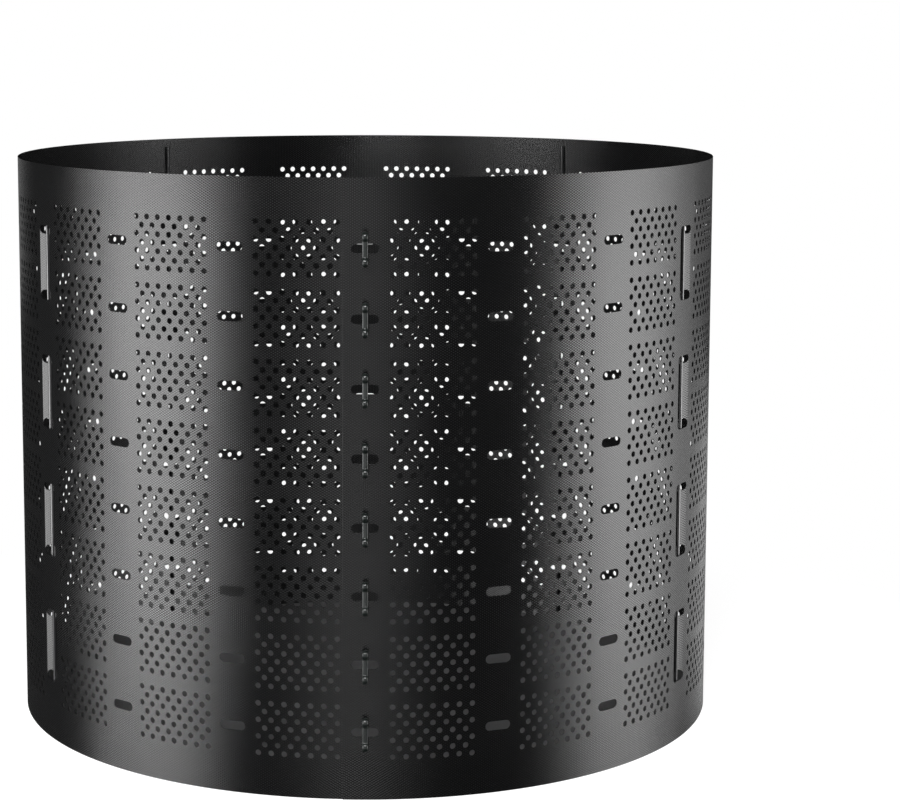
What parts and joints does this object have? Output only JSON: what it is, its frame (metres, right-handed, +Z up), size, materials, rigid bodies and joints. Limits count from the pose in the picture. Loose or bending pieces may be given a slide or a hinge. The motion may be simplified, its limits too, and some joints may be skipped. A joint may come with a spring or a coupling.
{
  "type": "compost bin",
  "caption": "Open-topped round compost bin rolled from one thin perforated plastic sheet, locked along an upright seam by turn keys and stiffened by upright rods threaded through its slots.",
  "frame": {"origin": "on the ground, at the middle of the whole part's outline seen from above, which is 9.3 mm in front of the rolled sheet's axis because the seam keys stand out in front", "axes": "+Z up along the bin's axis, -Y out through the seam at the front, +X to the right for someone facing the seam"},
  "size_m": [1.1475, 1.1664, 0.9144],
  "materials": {
    "sheet_plastic": "black, fine embossed grain, satin",
    "key_plastic": "black moulded plastic, half gloss",
    "rod_coating": "smooth black coating, half gloss"
  },
  "bodies": {
    "sheet_body": {"sheet": "sheet_plastic"},
    "key_1_body": {"key_1": "key_plastic"},
    "key_2_body": {"key_2": "key_plastic"},
    "key_3_body": {"key_3": "key_plastic"},
    "key_4_body": {"key_4": "key_plastic"},
    "key_5_body": {"key_5": "key_plastic"},
    "key_6_body": {"key_6": "key_plastic"},
    "key_7_body": {"key_7": "key_plastic"},
    "key_8_body": {"key_8": "key_plastic"},
    "rod_1_body": {"rod_1": "rod_coating"},
    "rod_2_body": {"rod_2": "rod_coating"},
    "rod_3_body": {"rod_3": "rod_coating"},
    "rod_4_body": {"rod_4": "rod_coating"}
  },
  "joints": [
    {"name": "key_1_turn", "type": "hinge", "parent": "sheet_body", "child": "key_1_body", "pos_m": [0, -0.56548, 0.1016], "axis": [0, -1, 0], "range_deg": [-90, 90]},
    {"name": "key_2_turn", "type": "hinge", "parent": "sheet_body", "child": "key_2_body", "pos_m": [0, -0.56548, 0.2032], "axis": [0, -1, 0], "range_deg": [-90, 90]},
    {"name": "key_3_turn", "type": "hinge", "parent": "sheet_body", "child": "key_3_body", "pos_m": [0, -0.56548, 0.3048], "axis": [0, -1, 0], "range_deg": [-90, 90]},
    {"name": "key_4_turn", "type": "hinge", "parent": "sheet_body", "child": "key_4_body", "pos_m": [0, -0.56548, 0.4064], "axis": [0, -1, 0], "range_deg": [-90, 90]},
    {"name": "key_5_turn", "type": "hinge", "parent": "sheet_body", "child": "key_5_body", "pos_m": [0, -0.56548, 0.508], "axis": [0, -1, 0], "range_deg": [-90, 90]},
    {"name": "key_6_turn", "type": "hinge", "parent": "sheet_body", "child": "key_6_body", "pos_m": [0, -0.56548, 0.6096], "axis": [0, -1, 0], "range_deg": [-90, 90]},
    {"name": "key_7_turn", "type": "hinge", "parent": "sheet_body", "child": "key_7_body", "pos_m": [0, -0.56548, 0.7112], "axis": [0, -1, 0], "range_deg": [-90, 90]},
    {"name": "key_8_turn", "type": "hinge", "parent": "sheet_body", "child": "key_8_body", "pos_m": [0, -0.56548, 0.8128], "axis": [0, -1, 0], "range_deg": [-90, 90]},
    {"name": "rod_1_lift", "type": "slide", "parent": "sheet_body", "child": "rod_1_body", "axis": [0, 0, 1], "range_m": [0, 0.75]},
    {"name": "rod_2_lift", "type": "slide", "parent": "sheet_body", "child": "rod_2_body", "axis": [0, 0, 1], "range_m": [0, 0.75]},
    {"name": "rod_3_lift", "type": "slide", "parent": "sheet_body", "child": "rod_3_body", "axis": [0, 0, 1], "range_m": [0, 0.75]},
    {"name": "rod_4_lift", "type": "slide", "parent": "sheet_body", "child": "rod_4_body", "axis": [0, 0, 1], "range_m": [0, 0.75]}
  ]
}
